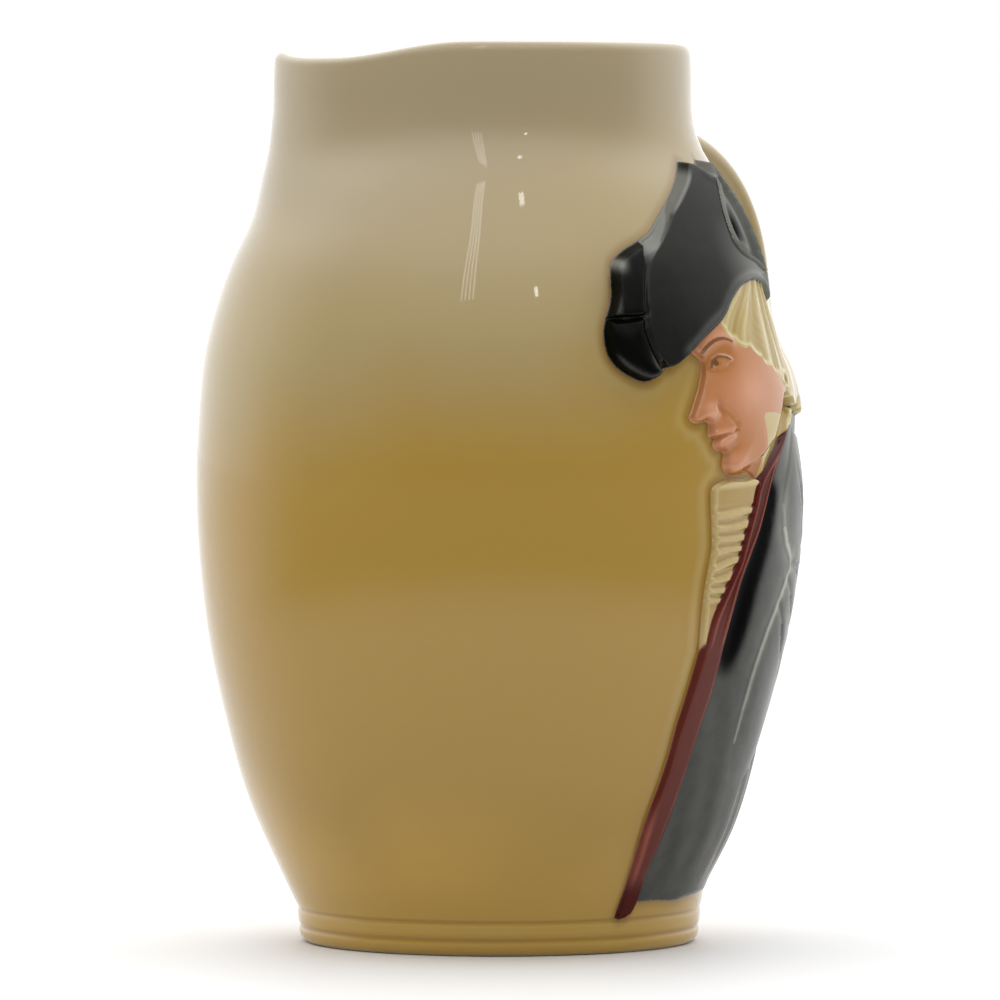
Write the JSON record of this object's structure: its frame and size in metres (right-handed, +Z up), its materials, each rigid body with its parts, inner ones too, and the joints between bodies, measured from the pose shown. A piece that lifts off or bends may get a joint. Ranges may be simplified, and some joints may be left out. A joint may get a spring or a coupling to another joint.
{
  "type": "creamware pitcher",
  "caption": "Round-bodied glazed pottery pitcher with a pinched pouring lip, a loop handle and a moulded relief of a gentleman in a cocked hat and long coat.",
  "frame": {"origin": "centre of the foot's underside, on the body's axis", "axes": "+Z up the body's axis to the rim, -X towards the pouring lip, -Y towards the front in the picture"},
  "size_m": [0.1546, 0.1544, 0.228],
  "materials": {
    "glaze": "glossy honey-coloured lead glaze over cream clay, with the relief painted in black-green, oxblood, flesh and straw"
  },
  "bodies": {
    "root": {"pitcher": "glaze"}
  },
  "joints": []
}
